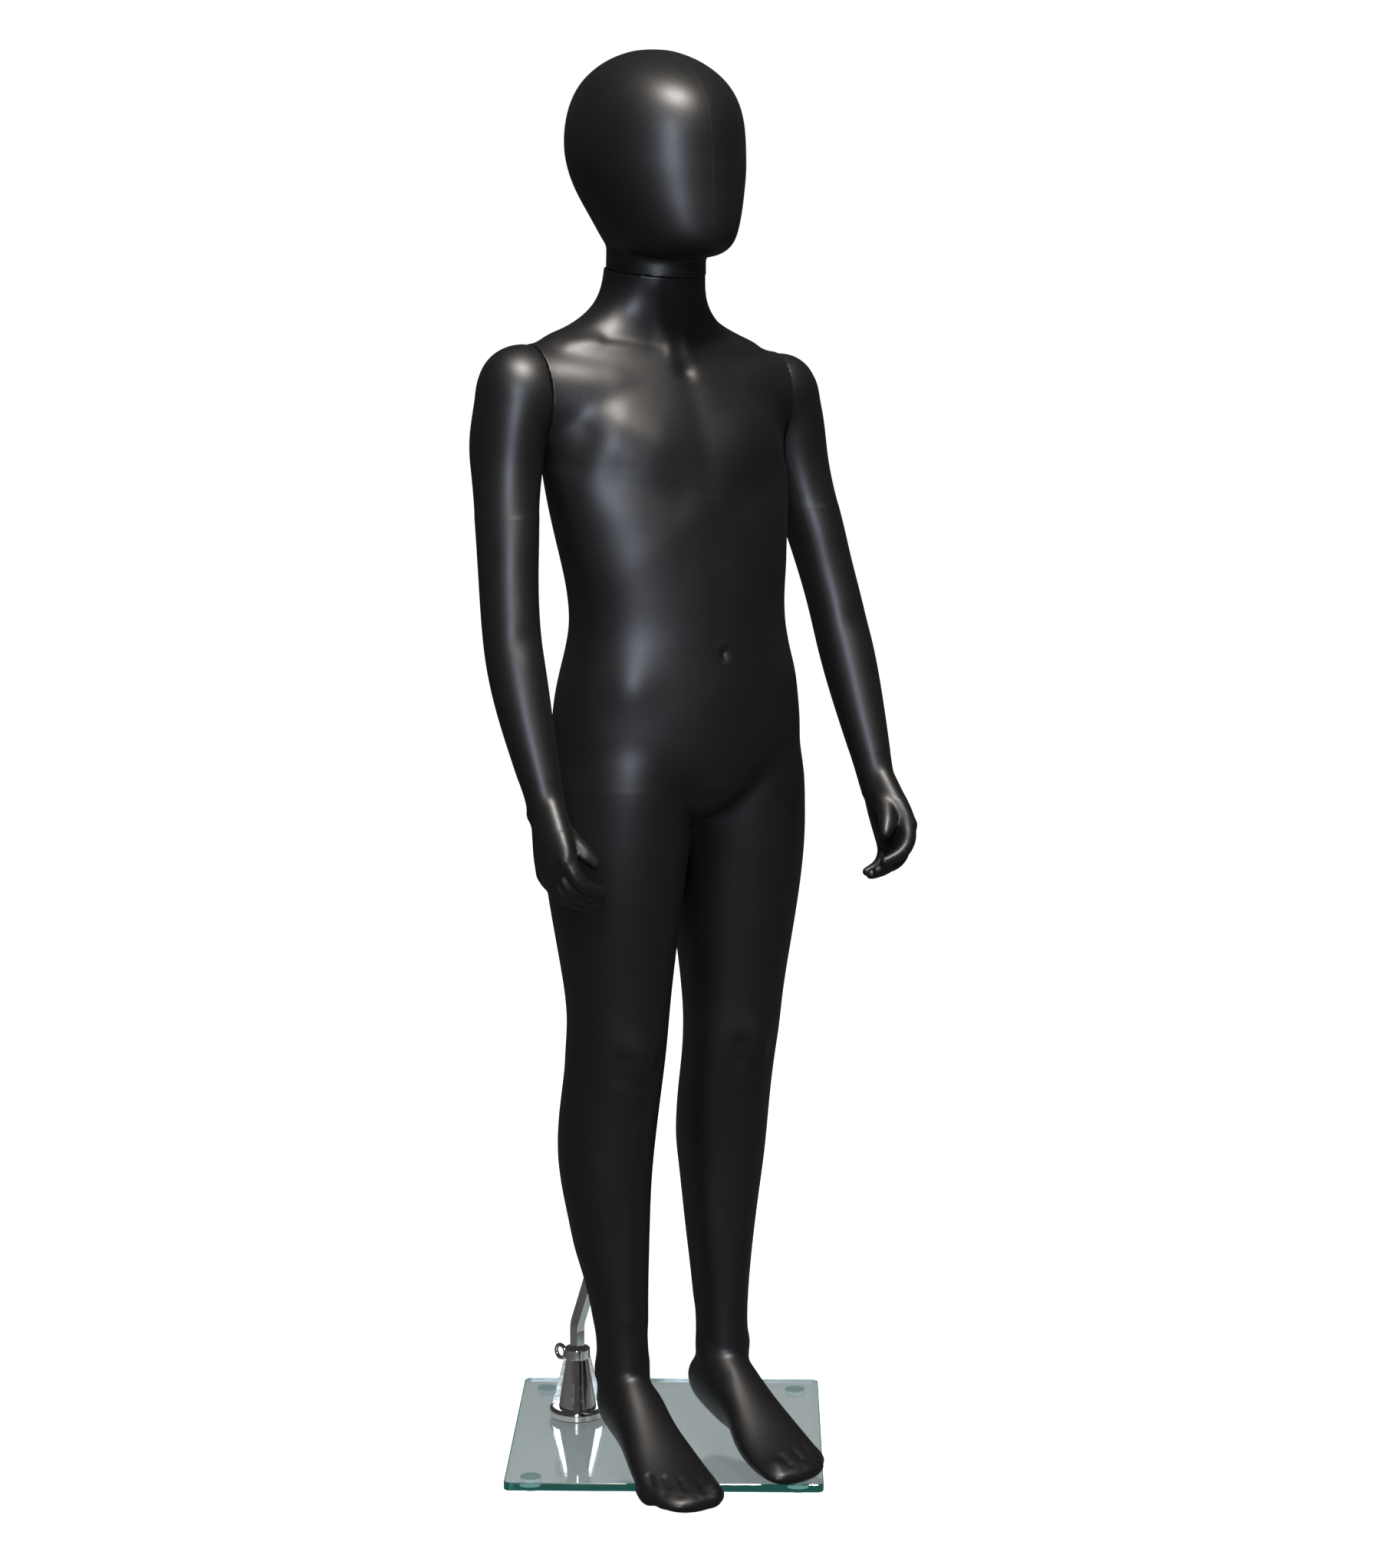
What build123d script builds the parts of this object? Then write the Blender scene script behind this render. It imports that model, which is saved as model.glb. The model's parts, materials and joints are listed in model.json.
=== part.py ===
"""Full body child mannequin on a glass base: moulded shells, steel joint fittings and a calf rod stand.

Millimetres. +Z is up, the figure faces -Y and its left is +X. The origin is on the floor, under the
middle of the whole object. The figure hangs on a square bar that rises from a screwed base fitting,
bends forward and slides into a square socket in the right calf.
"""
import os
from math import atan2, cos, degrees, radians, sin, tan

from build123d import *

# ---- glass base and its bumpers
GLASS_SIDE = 300.0
GLASS_THICK = 8.0
GLASS_CORNER_R = 6.0
GLASS_EDGE = 0.8
BUMPER_R = 10.0
BUMPER_H = 6.0
BUMPER_INSET = 24.0
GLASS_X = 7.0
GLASS_Y = 8.0
GLASS_TURN = -33.0

# ---- figure: where it stands, and its shell
FIGURE_X = -10.0
FIGURE_Y = -33.0
HEIGHT = 1322.0
DRAWN_HEIGHT = 1322.0
WALL = 3.0
SOLE_GAP = 0.5
STAGGER = 6.0
SEAM_GAP = 0.6
HEEL_LIFT = 25.0
FOOT_LENGTH = 206.0
DRAWN_FOOT = 206.0
BALL_SHARE = 0.72
RIGHT_TOE_OUT = 9.5
LEFT_TOE_OUT = -2.5
ANKLE_X = 58.5
HEEL_BACK = 36.0

# ---- joint faces: neck and shoulders
NECK_Y = 31.0
NECK_Z = 1120.0
NECK_TILT = 7.5
SHOULDER_X = 129.0
SHOULDER_Y = 38.0
SHOULDER_Z = 1006.0
SHOULDER_BALL_X = 138.0
SHOULDER_BALL_WIDE = 44.0
SHOULDER_BALL_DEEP = 42.0
SHOULDER_BALL_HIGH = 46.0
FACE_WALL = 8.0

# ---- joint fittings, one set at the neck and one at each shoulder
PLATE_R = 26.0
PLATE_THICK = 1.5
RECESS_DEPTH = 3.0
RECESS_CLEAR = 0.5
STUD_R = 5.0
STUD_CLEAR = 0.1
STUD_HEAD_R = 9.0
STUD_HEAD_THICK = 2.5
KEY_SHIFT = 12.0
KEY_HOLE_R = 9.6
WASHER_R = 8.6
AXIAL_CLEAR = 0.2
SCREW_R = 1.5
SCREW_HEAD_R = 2.8
SCREW_HEAD_THICK = 1.3
SCREW_LENGTH = 4.5
SCREW_CIRCLE_R = 20.5
SCREW_CLEAR = 0.1
SCREW_TIP_CLEAR = 0.5
STUD_HEAD_CLEAR = 1.5
CUT_PAST = 1.0

# ---- stand: base fitting, bar, calf socket and screws
FITTING_X = -46.4
FITTING_Y = 91.8
FLANGE_R = 28.0
FLANGE_H = 9.0
CONE_FOOT_R = 19.0
COLLAR_R = 12.5
FITTING_H = 68.0
COLLAR_H = 11.0
COLLAR_ROUND = 1.5
FIN_SINK = 1.0
FIN_THICK = 5.0
FIN_REACH = 25.5
BAR_SIDE = 10.0
BAR_CLEAR = 0.2
BAR_TURN = 13.2
BAR_SEAT = 20.0
CALF_Z = 199.8
BEND_R = 20.0
LEAN = 39.0
LEAN_HEADING = -103.8
SOCKET_WALL = 1.5
SOCKET_DEPTH = 64.0
SOCKET_END = 2.0
SOCKET_LEAD = 30.0
CALF_BACK = 86.5
CALF_PLATE_TILT = 7.0
CALF_PLATE_SIDE = 4.3
CALF_PLATE_END = 4.2
CALF_PLATE_THICK = 1.6
CALF_BACKING = 5.0
CALF_POCKET_OUT = 12.0
CALF_SCREW_REACH = 4 / 3
THUMB_Z = 58.0
THUMB_R = 3.0
THUMB_BOSS_R = 6.0
THUMB_BOSS_REACH = 14.0
THUMB_NECK = 1.5
THUMB_RING_R = 8.5
THUMB_WIRE_R = 2.0
RUN_CLEAR = 0.1
FIX_R = 4.0
FIX_HEAD_R = 7.0
FIX_HEAD_THICK = 2.6
FIX_WASHER_R = 13.0
FIX_WASHER_THICK = 1.4
FIX_BITE = 14.0
FLANGE_ROUND = 0.45
BUMPER_ROUND = 0.3
GASKET_THICK = 1.0
HOLE_CLEAR = 0.6

DECK = BUMPER_H + GLASS_THICK

# Stations of the moulded shells: x, y, z, half width, half depth. Heights are above the glass and places
# are from the figure's own centre line. They are drawn at DRAWN_HEIGHT and stretched to HEIGHT.
TORSO = [
    (0, 6, 604, 34, 44),
    (0, 2, 618, 78, 74),
    (0, -2, 640, 119, 88),
    (0, -4, 668, 129, 91),
    (0, -5, 700, 127, 90),
    (0, -5, 745, 121.5, 86),
    (0, -8, 790, 108.5, 80.5),
    (0, -6, 830, 109.5, 78),
    (0, 1, 870, 117, 78),
    (0, 9, 915, 124, 79),
    (0, 17, 960, 127, 76),
    (0, 25, 1000, 127, 66),
    (0, 32, 1028, 125, 55),
    (0, 38, 1048, 115, 46),
    (0, 40, 1062, 91, 43),
    (0, 40, 1076, 66, 44),
    (0, 37, 1092, 51.5, 46.5),
    (0, 33, 1112, 46.5, 48.5),
    (0, 31, 1135, 45.5, 49),
]
LEG = [
    (52, 6, 690, 62, 72),
    (62, 2, 640, 66, 78),
    (66, 0, 590, 65.5, 77),
    (66.5, -2, 540, 60.5, 68),
    (65.5, -3, 482, 52.5, 57),
    (64.5, -3, 440, 47, 51.5),
    (64.5, -2, 405, 44, 49.5),
    (63.5, 5, 370, 43.5, 47),
    (65, 13, 335, 43.5, 48),
    (66, 17, 300, 42.5, 48),
    (65.5, 16, 265, 39.5, 45),
    (63.5, 14, 230, 35.5, 40),
    (61.5, 11, 190, 31, 35),
    (60, 7, 150, 26.5, 30.5),
    (58.8, 3, 115, 24.5, 28),
    (58.5, 0, 88, 26, 29.5),
    (58.5, 2, 62, 26, 31),
]
# Arm stations are level sections from inside the shoulder ball down to the wrist.
ARM = [
    (146, 38, 1008, 27, 36),
    (151, 38, 985, 30.5, 38),
    (156, 36, 955, 30, 36),
    (161, 27, 918, 28.5, 33),
    (168, 14, 870, 27, 30.5),
    (174, 0, 830, 26.5, 29),
    (178, -10, 797, 26, 29),
    (179.5, -22, 762, 26, 29.5),
    (180, -37, 725, 23.5, 27),
    (179.5, -54, 688, 20.5, 24),
    (179, -70, 654, 17.5, 22),
    (179, -80, 632, 16.5, 21),
]
# The head's stations are measured down from its top.
HEAD = [
    (0, 37, 1.0, 12, 13),
    (0, 37, 9, 39, 42),
    (0, 36, 26, 61, 73),
    (0, 34.5, 43, 71, 88),
    (0, 34, 60, 76, 95.5),
    (0, 34, 78, 78, 99),
    (0, 33, 95, 78, 99),
    (0, 29, 112, 76, 97.5),
    (0, 24, 129, 71.5, 93.5),
    (0, 17, 145, 66, 88),
    (0, 11, 161, 60, 82),
    (0, 7.5, 176, 53.5, 77.5),
    (0, 8, 185, 47, 71),
    (0, 9, 190, 36, 58),
]
# The short neck below the jaw, measured the same way.
HEAD_NECK = [
    (0, 29, 150, 44, 50),
    (0, 31, 190, 45.5, 49),
    (0, 31, 216, 45.5, 49),
]
# Foot sections from the heel to the toes: distance from the heel, half width, sideways shift towards
# the big toe, bottom and top. The bottom and top are above the foot's own sole line.
FOOT = [
    (3, 14, 0, 14, 40),
    (14, 23, 0, 3, 62),
    (36, 26, 0, 0, 76),
    (62, 26.5, 1, 0, 74),
    (92, 29, 2, 0, 60),
    (122, 34, 2, 0, 46),
    (150, 38, 2, 0, 33),
    (176, 37, 4, 0, 24),
    (194, 31, 7, 1, 19),
    (204, 20, 11, 5, 14),
]
# Hand sections from the wrist along the curled hand: x, y, z, half thickness, half breadth.
PALM = [
    (179, -80, 642, 15, 20),
    (182, -88, 625, 14.5, 25),
    (184, -97, 606, 13.5, 29),
    (182, -107, 588, 12, 29),
    (174, -113, 576, 10.5, 27),
    (163, -115, 569, 9, 24),
    (152, -114, 566, 7, 18),
]
THUMB = [
    (177, -86, 636, 10, 10),
    (173, -100, 624, 9, 9.5),
    (166, -112, 613, 8, 8.5),
    (158, -121, 604, 6, 6.5),
]


def place(x, y, z):
    """A point of the figure, given from its centre line and the glass, in the part's own frame."""
    return Vector(FIGURE_X + x, FIGURE_Y + y, DECK + z * HEIGHT / DRAWN_HEIGHT)


def oval(x, y, z, half_wide, half_deep, along=(0, 0, 1), inset=0.0):
    """One elliptical section of a moulded shell, square to the given direction."""
    plane = Plane(origin=place(x, y, z), x_dir=(1, 0, 0), z_dir=along)
    return plane * Ellipse(half_wide - inset, half_deep - inset)


def upright(stations, inset=0.0, side=1):
    """A loft through level sections. An inset one ends short of both ends by the same wall."""
    first, last = stations[0][2], stations[-1][2]
    up = 1 if last > first else -1
    faces = []
    for index, (x, y, z, wide, deep) in enumerate(stations):
        if index == 0:
            z += inset * up
        elif index == len(stations) - 1:
            z -= inset * up
        faces.append(oval(side * x, y, z, wide, deep, inset=inset))
    return loft(faces)


def leaning(stations, inset=0.0, side=1):
    """A loft through sections that are each square to the line through their neighbours."""
    faces = []
    last = len(stations) - 1
    for index, (x, y, z, wide, deep) in enumerate(stations):
        before = stations[max(index - 1, 0)]
        after = stations[min(index + 1, last)]
        run = Vector(side * (after[0] - before[0]), after[1] - before[1], after[2] - before[2]).normalized()
        centre = Vector(side * x, y, z)
        if index == 0:
            centre += run * inset
        elif index == last:
            centre -= run * inset
        width_line = Vector(0, 1, 0).cross(run)
        plane = Plane(origin=place(*centre), x_dir=width_line, z_dir=run)
        faces.append(plane * Ellipse(wide - inset, deep - inset))
    return loft(faces)


def staggered(stations, side):
    """Leg stations, with one foot a little ahead of the other and the hips level."""
    top = stations[0][2]
    return [(x, y + side * STAGGER * (1 - z / top), z, wide, deep) for x, y, z, wide, deep in stations]


def foot(side, toe_out, inset=0.0):
    """One foot, heel up and ball down, turned out about the ankle."""
    ball = BALL_SHARE * FOOT_LENGTH
    stretch = FOOT_LENGTH / DRAWN_FOOT
    faces = []
    for index, (run, wide, shift, low, high) in enumerate(FOOT):
        run *= stretch
        if index == 0:
            run += inset
        elif index == len(FOOT) - 1:
            run -= inset
        lift = SOLE_GAP + HEEL_LIFT * max(0.0, 1 - run / ball)
        middle = lift + (low + high) / 2
        centre = Vector(-side * shift, HEEL_BACK - run, middle)
        plane = Plane(origin=centre, x_dir=(1, 0, 0), z_dir=(0, -1, 0))
        faces.append(plane * Ellipse(wide - inset, (high - low) / 2 - inset))
    ankle = place(side * ANKLE_X, side * STAGGER, 0)
    return Pos(*ankle) * Rot(0, 0, side * toe_out) * loft(faces)


def half_space(point, outward, size=1800.0):
    """A large block on the far side of a plane, used to split the figure at its seams."""
    plane = Plane(origin=point, z_dir=outward)
    return plane * Pos(0, 0, size / 2) * Box(size, size, size)


def joint_plane(point, outward, up, back=0.0):
    """A plane on a joint face, drawn back from the seam towards the fixed side."""
    outward = Vector(*outward).normalized()
    return Plane(origin=point - outward * back, x_dir=up, z_dir=outward)


def screw_places(spread):
    return [Pos(0, spread, 0), Pos(0, -spread, 0)]


def disc(radius, low, high):
    return Pos(0, 0, (low + high) / 2) * Cylinder(radius, high - low)


def key_slot(radius_small, radius_big, low, high):
    """The keyhole: a wide mouth above the turning centre, with a slot down to it."""
    slot = Pos(KEY_SHIFT / 2, 0, (low + high) / 2) * Box(KEY_SHIFT, 2 * radius_small, high - low)
    mouth = Pos(KEY_SHIFT, 0, 0) * disc(radius_big, low, high)
    return disc(radius_small, low, high) + slot + mouth


# Heights along a joint's axis, from the fixed side's face (0) outwards to the moving side's.
FIXED_FLOOR = -RECESS_DEPTH
MOVING_FLOOR = SEAM_GAP + RECESS_DEPTH
FIXED_TOP = FIXED_FLOOR + PLATE_THICK
MOVING_TOP = MOVING_FLOOR - PLATE_THICK


def fixed_recess():
    """What a fixed face gives up: plate recess, room for the stud's head and screw holes."""
    gone = disc(PLATE_R + RECESS_CLEAR, FIXED_FLOOR, CUT_PAST)
    room = STUD_HEAD_R + STUD_HEAD_CLEAR
    gone += key_slot(room, room, -2 * FACE_WALL, 0)
    for spot in screw_places(SCREW_CIRCLE_R):
        gone += spot * disc(SCREW_R + SCREW_CLEAR, FIXED_FLOOR - SCREW_LENGTH, FIXED_FLOOR)
    return gone


def moving_recess():
    """What a moving face gives up: plate recess, a blind stud seat and screw holes."""
    gone = disc(PLATE_R + RECESS_CLEAR, SEAM_GAP - CUT_PAST, MOVING_FLOOR)
    for spot in screw_places(SCREW_CIRCLE_R):
        gone += spot * disc(SCREW_R + SCREW_CLEAR, MOVING_FLOOR, MOVING_FLOOR + SCREW_LENGTH)
    return gone


def fixed_plate():
    plate = disc(PLATE_R, FIXED_FLOOR, FIXED_TOP)
    plate -= key_slot(STUD_R + STUD_CLEAR, KEY_HOLE_R, FIXED_FLOOR - CUT_PAST, FIXED_TOP + CUT_PAST)
    for spot in screw_places(SCREW_CIRCLE_R):
        plate -= spot * disc(SCREW_R + SCREW_CLEAR, FIXED_FLOOR - CUT_PAST, FIXED_TOP + CUT_PAST)
    return plate


def moving_plate():
    plate = disc(PLATE_R, MOVING_TOP, MOVING_FLOOR)
    plate -= disc(STUD_R, MOVING_TOP - CUT_PAST, MOVING_FLOOR + CUT_PAST)
    for spot in screw_places(SCREW_CIRCLE_R):
        plate -= spot * disc(SCREW_R + SCREW_CLEAR, MOVING_TOP - CUT_PAST, MOVING_FLOOR + CUT_PAST)
    return plate


def stud():
    """A shouldered stud riveted in the moving plate, its wide head behind the fixed plate."""
    shaft = disc(STUD_R, FIXED_FLOOR - AXIAL_CLEAR, MOVING_FLOOR)
    head_top = FIXED_FLOOR - AXIAL_CLEAR
    return shaft + disc(STUD_HEAD_R, head_top - STUD_HEAD_THICK, head_top)


def washer():
    low, high = FIXED_TOP + AXIAL_CLEAR, MOVING_TOP
    return disc(WASHER_R, low, high) - disc(STUD_R + STUD_CLEAR, low - CUT_PAST, high + CUT_PAST)


def fixed_screws():
    head = disc(SCREW_HEAD_R, FIXED_TOP, FIXED_TOP + SCREW_HEAD_THICK)
    shank = disc(SCREW_R, FIXED_FLOOR - SCREW_LENGTH + SCREW_TIP_CLEAR, FIXED_TOP)
    return [spot * (head + shank) for spot in screw_places(SCREW_CIRCLE_R)]


def moving_screws():
    head = disc(SCREW_HEAD_R, MOVING_TOP - SCREW_HEAD_THICK, MOVING_TOP)
    shank = disc(SCREW_R, MOVING_TOP, MOVING_FLOOR + SCREW_LENGTH - SCREW_TIP_CLEAR)
    return [spot * (head + shank) for spot in screw_places(SCREW_CIRCLE_R)]


nodes = {}


def group(parts):
    """Several loose solids that share one node, such as a pair of screws."""
    solids = []
    for item in parts:
        solids += item.solids()
    return Compound(children=solids)


# ---- the three joint faces
neck_out = Vector(0, -sin(radians(NECK_TILT)), cos(radians(NECK_TILT)))
neck_up = (0, cos(radians(NECK_TILT)), sin(radians(NECK_TILT)))
neck_face = joint_plane(place(0, NECK_Y, NECK_Z), neck_out, neck_up)
arm_faces = {side: joint_plane(place(side * SHOULDER_X, SHOULDER_Y, SHOULDER_Z), (side, 0, 0), (0, 0, 1))
             for side in (-1, 1)}


def beyond(face, distance):
    """Everything past a joint face by a distance along its normal."""
    return half_space(face.origin + face.z_dir * distance, face.z_dir)


# ---- stand bar: upright in the fitting, a bend, then a lean into the calf
heading = radians(LEAN_HEADING)
ahead = Vector(cos(heading), sin(heading), 0)
bar_up = Vector(ahead.X * sin(radians(LEAN)), ahead.Y * sin(radians(LEAN)), cos(radians(LEAN)))
foot_point = Vector(FITTING_X, FITTING_Y, DECK + BAR_SEAT)
bend_z = CALF_Z * HEIGHT / DRAWN_HEIGHT - CALF_BACK / tan(radians(LEAN))
bend_point = Vector(FITTING_X, FITTING_Y, DECK + bend_z)
bend_run = BEND_R * tan(radians(LEAN / 2))
bend_start = bend_point - Vector(0, 0, bend_run)
bend_end = bend_point + bend_run * bar_up
calf_reach = CALF_BACK / sin(radians(LEAN))
mouth_point = bend_point + calf_reach * bar_up
bar_end = mouth_point + SOCKET_DEPTH * bar_up


def bar_section(origin, along, side_length):
    """The bar's square, turned about its own line by the same angle everywhere."""
    across = Vector(-ahead.Y, ahead.X, 0)
    plane = Plane(origin=origin, x_dir=across, z_dir=along)
    turn = degrees(atan2(sin(radians(90 + BAR_TURN) - heading), cos(radians(90 + BAR_TURN) - heading)))
    return plane * Rot(0, 0, turn) * Rectangle(side_length, side_length)


lower = extrude(bar_section(foot_point, (0, 0, 1), BAR_SIDE), (bend_start - foot_point).length)
bend_centre = bend_start + BEND_R * ahead
bend_axis = Axis(bend_centre, Vector(0, 0, 1).cross(ahead))
bend = revolve(bar_section(bend_start, (0, 0, 1), BAR_SIDE), bend_axis, LEAN)
upper = extrude(bar_section(bend_end, bar_up, BAR_SIDE), (bar_end - bend_end).length)
support_rod = lower + bend + upper
nodes["support_rod"] = support_rod

# ---- calf socket: a square tube welded through a plate on a flat at the back of the calf
plate_tilt = radians(CALF_PLATE_TILT)
plate_out = Vector(-ahead.X * cos(plate_tilt), -ahead.Y * cos(plate_tilt), -sin(plate_tilt))
plate_face = Plane(origin=mouth_point, x_dir=(-ahead.Y, ahead.X, 0), z_dir=plate_out)
outer_side = BAR_SIDE + 2 * BAR_CLEAR + 2 * SOCKET_WALL
calf_spread = CALF_SCREW_REACH * outer_side
plate_width = outer_side + 2 * CALF_PLATE_SIDE
plate_height = 2 * (calf_spread + CALF_PLATE_END)
lead_point = mouth_point - SOCKET_LEAD * bar_up
tube_outer = extrude(bar_section(lead_point, bar_up, outer_side), SOCKET_LEAD + SOCKET_DEPTH + SOCKET_END)
tube_hole = extrude(bar_section(lead_point, bar_up, BAR_SIDE + 2 * BAR_CLEAR),
                    SOCKET_LEAD + SOCKET_DEPTH + RUN_CLEAR)


def plate_block(wide, high, low, top):
    return plate_face * Pos(0, 0, (low + top) / 2) * Box(wide, high, top - low)


screw_spots = [Pos(0, calf_spread, 0), Pos(0, -calf_spread, 0)]
pocket = plate_block(plate_width + 2 * RECESS_CLEAR, plate_height + 2 * RECESS_CLEAR,
                     -CALF_PLATE_THICK, CALF_POCKET_OUT)
backing = plate_block(plate_width + 2 * CALF_BACKING, plate_height + 2 * CALF_BACKING,
                      -CALF_PLATE_THICK - CALF_BACKING, CALF_POCKET_OUT)
calf_plate = plate_block(plate_width, plate_height, -CALF_PLATE_THICK, 0) - tube_outer
calf_screws = []
for spot in screw_spots:
    calf_plate -= plate_face * spot * disc(SCREW_R + SCREW_CLEAR, -CALF_PLATE_THICK - CUT_PAST, CUT_PAST)
    screw = disc(SCREW_R, SCREW_TIP_CLEAR - CALF_PLATE_THICK - SCREW_LENGTH, 0)
    screw += disc(SCREW_HEAD_R, 0, SCREW_HEAD_THICK)
    calf_screws.append(plate_face * spot * screw)
nodes["calf_plate"] = calf_plate
nodes["calf_plate_screws"] = group(calf_screws)
nodes["calf_socket"] = tube_outer - tube_hole - half_space(mouth_point, plate_out)

# ---- moulded shells: outer skin less the hollows inside it, taken out one limb at a time
def limb_skins(inset):
    """The legs and feet, right then left."""
    skins = []
    for side, toe_out in ((-1, RIGHT_TOE_OUT), (1, LEFT_TOE_OUT)):
        skins.append(upright(staggered(LEG, side), inset, side))
        skins.append(foot(side, toe_out, inset))
    return skins


def shoulder_skin(side, inset):
    """The shoulder ball and the arm below it, which the seam splits between body and arm."""
    ball = scale(Sphere(1), by=(SHOULDER_BALL_WIDE - inset, SHOULDER_BALL_DEEP - inset,
                                SHOULDER_BALL_HIGH - inset))
    ball = Pos(*place(side * SHOULDER_BALL_X, SHOULDER_Y, SHOULDER_Z)) * ball
    return ball + upright(ARM, inset, side)


def arm_skin(side, inset):
    arm = shoulder_skin(side, inset) + leaning(PALM, inset, side)
    if inset == 0:
        arm += leaning(THUMB, 0, side)
    return arm


body_outer = upright(TORSO)
for skin in limb_skins(0):
    body_outer += skin
for side in (-1, 1):
    body_outer += shoulder_skin(side, 0) - beyond(arm_faces[side], 0)
body_outer -= beyond(neck_face, 0)
body_shell = body_outer
torso_hollow = upright(TORSO, WALL) - beyond(neck_face, -FACE_WALL)
for side in (-1, 1):
    body_shell -= shoulder_skin(side, WALL) - beyond(arm_faces[side], -FACE_WALL)
    torso_hollow -= beyond(arm_faces[side], -FACE_WALL)
body_shell -= torso_hollow
for skin in limb_skins(WALL):
    body_shell -= skin - backing
body_shell -= pocket
body_shell -= tube_outer
for spot in screw_spots:
    body_shell -= plate_face * spot * disc(SCREW_R + SCREW_CLEAR, -CALF_PLATE_THICK - SCREW_LENGTH, 0)
for face in (neck_face, arm_faces[-1], arm_faces[1]):
    body_shell -= face * fixed_recess()
nodes["body_shell"] = body_shell


def head_skin(inset):
    skin = upright(hung(HEAD), inset)
    return skin + upright(hung(HEAD_NECK), inset)


def hung(stations):
    """Head stations turned from depths below its top into heights."""
    return [(x, y, DRAWN_HEIGHT - down, wide, deep) for x, y, down, wide, deep in stations]


head_outer = head_skin(0) & beyond(neck_face, SEAM_GAP)
head_inner = head_skin(WALL) & beyond(neck_face, SEAM_GAP + FACE_WALL)
nodes["head_shell"] = head_outer - head_inner - neck_face * moving_recess()

left_outer = arm_skin(1, 0) & beyond(arm_faces[1], SEAM_GAP)
left_hollow = arm_skin(1, WALL) & beyond(arm_faces[1], SEAM_GAP + FACE_WALL)
nodes["left_arm_shell"] = left_outer - left_hollow - arm_faces[1] * moving_recess()
nodes["right_arm_shell"] = mirror(nodes["left_arm_shell"], Plane(origin=(FIGURE_X, 0, 0), z_dir=(1, 0, 0)))

# ---- joint fittings
for face, fixed_name, moving_name in (
    (neck_face, "neck", "head"),
    (arm_faces[-1], "right_shoulder", "right_arm"),
    (arm_faces[1], "left_shoulder", "left_arm"),
):
    nodes[fixed_name + "_plate"] = face * fixed_plate()
    nodes[fixed_name + "_screws"] = group([face * item for item in fixed_screws()])
    nodes[moving_name + "_plate"] = face * moving_plate()
    nodes[moving_name + "_screws"] = group([face * item for item in moving_screws()])
    nodes[moving_name + "_stud"] = face * stud()
    nodes[moving_name + "_washer"] = face * washer()

# ---- base fitting: a die-cast cone with four fins, screwed down through the glass
fitting_at = Pos(FITTING_X, FITTING_Y, DECK + GASKET_THICK)
cone_top = FITTING_H - COLLAR_H
flange = fillet(Cylinder(FLANGE_R, FLANGE_H).edges().group_by(Axis.Z)[-1], FLANGE_H * FLANGE_ROUND)
flange = Pos(0, 0, FLANGE_H / 2) * flange
cone = Pos(0, 0, (FLANGE_H + cone_top) / 2) * Cone(CONE_FOOT_R, COLLAR_R - COLLAR_ROUND, cone_top - FLANGE_H)
collar = fillet(Cylinder(COLLAR_R, COLLAR_H).edges(), COLLAR_ROUND)
collar = Pos(0, 0, cone_top + COLLAR_H / 2) * collar
fin_outline = Polyline((0, FLANGE_H - FIN_SINK), (FIN_REACH, FLANGE_H - FIN_SINK),
                       (COLLAR_R, cone_top + FIN_SINK), (0, cone_top + FIN_SINK), close=True)
fin = extrude(Plane.XZ * make_face(fin_outline), FIN_THICK / 2, both=True)
fins = [Rot(0, 0, BAR_TURN + 45 + 90 * index) * fin for index in range(4)]
thumb_turn = Rot(0, 0, 90 + BAR_TURN)
thumb_line = thumb_turn * Pos(0, 0, THUMB_Z) * Rot(0, 90, 0)
boss = thumb_line * disc(THUMB_BOSS_R, 0, THUMB_BOSS_REACH)
fitting = flange + cone + collar + boss
for item in fins:
    fitting += item
bar_hole = BAR_SIDE + 2 * BAR_CLEAR
fitting -= Rot(0, 0, BAR_TURN) * Pos(0, 0, BAR_SEAT - GASKET_THICK + FITTING_H / 2) * Box(
    bar_hole, bar_hole, FITTING_H)
fitting -= thumb_line * disc(THUMB_R + RUN_CLEAR, 0, THUMB_BOSS_REACH + CUT_PAST)
fitting -= disc(FIX_R + RUN_CLEAR, -CUT_PAST, FIX_BITE + CUT_PAST)
nodes["base_fitting"] = fitting_at * fitting

ring_centre = THUMB_BOSS_REACH + THUMB_NECK + THUMB_RING_R
thumb = disc(THUMB_R, BAR_SIDE / 2 + RUN_CLEAR, ring_centre - THUMB_RING_R + THUMB_WIRE_R)
thumb += Pos(0, 0, ring_centre) * Rot(90, 0, 0) * Torus(THUMB_RING_R - THUMB_WIRE_R, THUMB_WIRE_R)
nodes["thumb_screw"] = fitting_at * thumb_line * thumb

# ---- under the fitting: gasket, glass, washer and fixing screw
screw_line = Pos(FITTING_X, FITTING_Y, 0)
nodes["base_gasket"] = screw_line * (disc(FLANGE_R - 1, DECK, DECK + GASKET_THICK)
                                     - disc(FIX_R + HOLE_CLEAR, DECK - 1, DECK + GASKET_THICK + 1))
washer_low = BUMPER_H - FIX_WASHER_THICK
nodes["fixing_washer"] = screw_line * (disc(FIX_WASHER_R, washer_low, BUMPER_H)
                                       - disc(FIX_R + RUN_CLEAR, washer_low - 1, BUMPER_H + 1))
nodes["fixing_screw"] = screw_line * (disc(FIX_HEAD_R, washer_low - FIX_HEAD_THICK, washer_low)
                                      + disc(FIX_R, washer_low, DECK + GASKET_THICK + FIX_BITE))

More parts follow.
